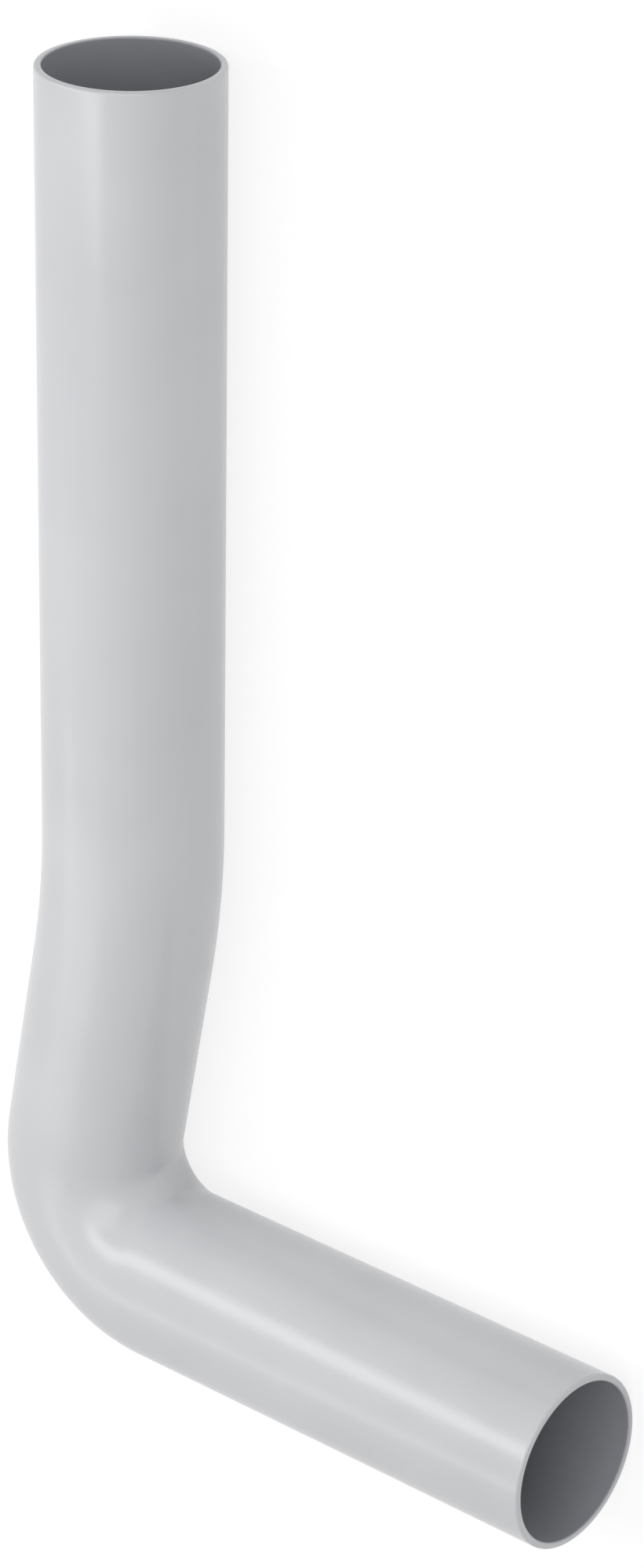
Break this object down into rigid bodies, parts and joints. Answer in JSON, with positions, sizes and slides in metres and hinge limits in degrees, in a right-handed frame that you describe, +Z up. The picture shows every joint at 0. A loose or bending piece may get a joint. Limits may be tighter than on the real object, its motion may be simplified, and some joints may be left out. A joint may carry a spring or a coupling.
{
  "type": "toilet flush bend",
  "caption": "Bent thin-walled plastic tube with plain open ends, a slight offset and a tight elbow, which carries the flush from a cistern to a toilet pan.",
  "frame": {"origin": "Middle of the cistern mouth, on the axis of the cistern leg.", "axes": "+Y along the cistern leg, out of the cistern mouth. +X along the pan leg, out of the pan mouth. +Z up, square to the plane that both bends lie in: the tube lies on its side, as it comes to rest."},
  "size_m": [0.1767, 0.332, 0.044],
  "materials": {
    "grey_plastic": "smooth satin light grey"
  },
  "bodies": {
    "root": {"flush_bend": "grey_plastic"}
  },
  "joints": []
}
